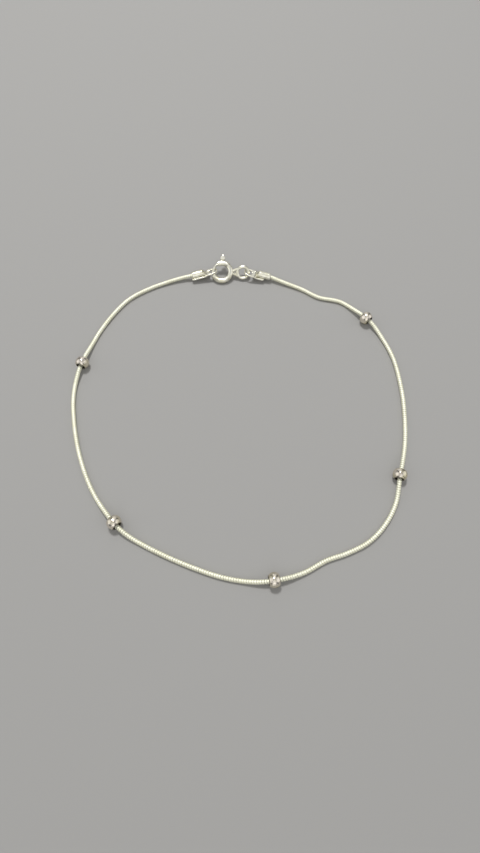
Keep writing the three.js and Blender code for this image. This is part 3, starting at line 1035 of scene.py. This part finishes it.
def make_cap(name, node, mouth, link, tube_from, strip_from, roll):
    """A cap with its mouth over the end of the chain and its hole aimed at its link."""
    roll_over = Matrix.Rotation(math.radians(roll), 4, "X")
    run = link - mouth
    aim = roll_over @ Vector((CAP_HOLE_AT, 0, STRIP_ABOVE))
    placement = (
        Matrix.Translation(mouth)
        @ Matrix.Rotation(bearing(run) - bearing(aim), 4, "Z")
        @ Matrix.Rotation(climb(aim) - climb(run), 4, "Y")
        @ roll_over
    )
    depth = CAP_SOCKET_DEPTH
    socket = straight_bar("socket", (-depth, 0, 0), (depth, 0, 0), CAP_SOCKET_DIAMETER)
    parts = [cap_tube("cap tube", tube_from), cap_strip("cap strip", strip_from)]
    cuts = [socket, cap_groove("groove"), cap_hole("hole")]
    cap = melted(name, parts, cuts, voxel=0.03, tumbling=4)
    return finish_piece(cap, placement, clasp_silver, "bracelet", "clasp_silver", node)


left_mouth = Vector((*CHAIN_ROUTE[1], CAP_MOUTH_HEIGHT))
right_mouth = Vector((*CHAIN_ROUTE[-2], CAP_MOUTH_HEIGHT))
make_cap(
    "pressed_cap_left", "end_cap_left", left_mouth, left_link,
    tube_from=0.22, strip_from=0, roll=-20,
)
make_cap(
    "pressed_cap_right", "end_cap_right", right_mouth, right_link,
    tube_from=0, strip_from=1.2, roll=12,
)

# %% [markdown]
# ## The spring ring
#
# The ring is a hollow tube bent nearly closed, with its gap on the left. Its eye is a
# smaller ring of wire, held on by two short legs that start together and straddle, so a
# small three-cornered window stays open between them. A slot in the outer wall lets the
# thumb piece travel.
#
# The hollow could be left out, because little of it shows. But the open ends and the
# slot are what tell a spring ring from a plain one, so a thinner bar is drilled out of
# the thick one, and a curved block cuts the slot.

# %% The ring's slot
# Where the thumb piece stands, how far it travels, and the slot's spare room, in degrees.
THUMB_ANGLE = 88
BOLT_TRAVEL = 58
SLOT_SPARE = 8
SLOT_HEIGHT = 0.4
# The slot's cutter, from inside the wall to outside it, measured from the ring's middle.
SLOT_FROM, SLOT_TO = 2.0, 2.6


def slot_cutter(name, steps=24):
    """A flat curved block over the thumb piece's travel."""
    points = []
    first = THUMB_ANGLE - BOLT_TRAVEL - SLOT_SPARE
    last = THUMB_ANGLE + SLOT_SPARE
    for i in range(steps + 1):
        angle = math.radians(first + (last - first) * i / steps)
        outward = Vector((math.cos(angle), math.sin(angle), 0))
        for reach, up in [(SLOT_FROM, -1), (SLOT_TO, -1), (SLOT_TO, 1), (SLOT_FROM, 1)]:
            points.append(outward * reach + Vector((0, 0, up * SLOT_HEIGHT / 2)))
    return draft(name, points, [tuple(reversed(f)) for f in ring_faces(steps + 1, 4)])


# %% The ring's eye
EYE_WIRE = 0.64
EYE_TWIST = math.radians(16)


def at_eye(point):
    """Moves a point from about the origin to its place on the twisted eye."""
    return Matrix.Rotation(EYE_TWIST, 3, "X") @ point + Vector((EYE_DISTANCE, 0, 0))


def eye(name, steps=72, sides=32):
    """The closed eye, twisted a little out of the ring's plane."""
    points = []
    for i in range(steps):
        section = bar_section(math.tau * i / steps, EYE_RADIUS, EYE_WIRE, sides)
        points += [at_eye(point) for point in section]
    faces = ring_faces(steps, sides, closed=True)
    return draft(name, points, [tuple(reversed(f)) for f in faces])


# %% Bend, solder and slot the ring
RING_TUBE = 1.08
RING_BORE = 0.74
# Degrees about the ring's middle, counted from the eye.
GAP_FROM, GAP_TO = 120, 206
BORE_OVERRUN = 5
LEG_WIRE = 0.56
LEG_SPREAD = math.radians(44)
LEG_SUNK = 0.1
LEG_ASIDE = 0.26

tube_end = GAP_FROM + 360
tube = bent_bar("tube", RING_RADIUS, RING_TUBE, GAP_TO, tube_end)
bore = bent_bar(
    "bore", RING_RADIUS, RING_BORE, GAP_TO - BORE_OVERRUN, tube_end + BORE_OVERRUN
)
ring_parts = [tube, eye("eye")]
for side in (-1, 1):
    root = (RING_RADIUS + RING_TUBE / 2 - LEG_SUNK, side * LEG_ASIDE, 0)
    foot_aside = side * EYE_RADIUS * math.sin(LEG_SPREAD)
    foot = at_eye(Vector((-EYE_RADIUS * math.cos(LEG_SPREAD), foot_aside, 0)))
    ring_parts.append(straight_bar(f"leg {side}", root, foot, LEG_WIRE))
ring = melted("spring_ring", ring_parts, [bore, slot_cutter("slot")], voxel=0.032, tumbling=4)
finish_piece(ring, clasp_place, clasp_silver, "bracelet", "clasp_silver", "clasp_ring")

# %% [markdown]
# ## The bolt
#
# A bow of springy wire slides inside the ring and closes its gap. The wearer draws it
# back with a thumbnail on a small spade-shaped piece, which stands on a neck through the
# slot. The wire's free end is rounded, so it finds its way into the tube again.
#
# It is one piece of metal and could be one sculpted mesh. Four plain shapes melted
# together are easier to measure, and the melt gives the neck its soft fillets.

# %% A block and a ball
def block(name, low, high):
    """A plain block between two corners."""
    corners = [(x, y, z) for z in (low[2], high[2]) for x, y in (
        (low[0], low[1]), (high[0], low[1]), (high[0], high[1]), (low[0], high[1])
    )]
    return draft(name, corners, ring_faces(2, 4))


def ball(name, middle, radius, rings=16, sides=32):
    """A small ball, for the rounded end of a wire."""
    points = []
    for i in range(1, rings):
        polar = math.pi * i / rings
        for j in range(sides):
            turn = math.tau * j / sides
            level = radius * math.sin(polar)
            points.append(Vector(middle) + Vector((
                level * math.cos(turn), level * math.sin(turn), -radius * math.cos(polar)
            )))
    return draft(name, points, ring_faces(rings - 1, sides))


# %% The thumb piece
THUMB_FROM, THUMB_TO = 2.45, 3.58
THUMB_WIDTH, THUMB_THICKNESS = 1.12, 0.6
THUMB_FOOT = 0.58
THUMB_SHOULDER = 2.86
# The corners that pull the spade's outline: above its foot, and below its blunt point.
FOOT_CORNER = 0.12
POINT_CORNER_SHARE, POINT_CORNER = 0.86, 0.36
POINT_WIDTH = 0.24
# The domed faces: the last layer's angle, and how the outline shrinks towards it.
DOME_END, DOME_STEP = 75, 15
DOME_CORE, DOME_SWELL, DOME_POWER = 0.55, 0.45, 0.7


def thumb_outline():
    """The spade's right half: from its foot, round the shoulder, to its blunt point."""
    half, foot = THUMB_WIDTH / 2, THUMB_FOOT / 2
    lower = rounded_corner(
        (foot, THUMB_FROM), (half, THUMB_FROM + FOOT_CORNER), (half, THUMB_SHOULDER), 8
    )
    upper = rounded_corner(
        (half, THUMB_SHOULDER),
        (POINT_CORNER_SHARE * half, THUMB_TO - POINT_CORNER),
        (POINT_WIDTH / 2, THUMB_TO), 8,
    )
    return [*lower, *upper[1:]]


def thumb_piece(name):
    """The spade as a plate with softly domed faces."""
    right = thumb_outline()
    outline = [*right, *[Vector((-p.x, p.y)) for p in reversed(right)]]
    middle = Vector((0, (THUMB_FROM + THUMB_TO) / 2))
    points = []
    layers = range(-DOME_END, DOME_END + 1, DOME_STEP)
    for degrees in layers:
        angle = math.radians(degrees)
        share = DOME_CORE + DOME_SWELL * math.cos(angle) ** DOME_POWER
        up = THUMB_THICKNESS / 2 * math.sin(angle) / math.sin(math.radians(DOME_END))
        for corner in outline:
            inset = middle + (corner - middle) * share
            points.append((inset.x, inset.y, up))
    return draft(name, points, ring_faces(len(layers), len(outline)))


# %% Bend the bolt and melt it together
BOLT_WIRE = 0.5
# The wire's two ends, in degrees about the ring's middle.
BOLT_FROM, BOLT_TO = 81, 211
NECK_WIDTH, NECK_THICKNESS = 0.34, 0.26
NECK_FROM, NECK_TO = 1.84, 2.7

lean = Matrix.Rotation(math.radians(THUMB_ANGLE - 90), 4, "Z")
end_angle = math.radians(BOLT_TO) - BOLT_WIRE / 2 / RING_RADIUS
wire = bent_bar("wire", RING_RADIUS, BOLT_WIRE, BOLT_FROM, math.degrees(end_angle))
wire_end = ball(
    "wire end", (RING_RADIUS * math.cos(end_angle), RING_RADIUS * math.sin(end_angle), 0),
    BOLT_WIRE / 2,
)
neck = block(
    "neck",
    (-NECK_WIDTH / 2, NECK_FROM, -NECK_THICKNESS / 2),
    (NECK_WIDTH / 2, NECK_TO, NECK_THICKNESS / 2),
)
thumb = thumb_piece("thumb")
for part in (neck, thumb):
    part.data.transform(lean)
bolt = melted("bolt_wire", [wire, wire_end, neck, thumb], [], voxel=0.028, tumbling=4)
finish_piece(bolt, clasp_place, clasp_silver, "bolt", "clasp_silver", "clasp_bolt")
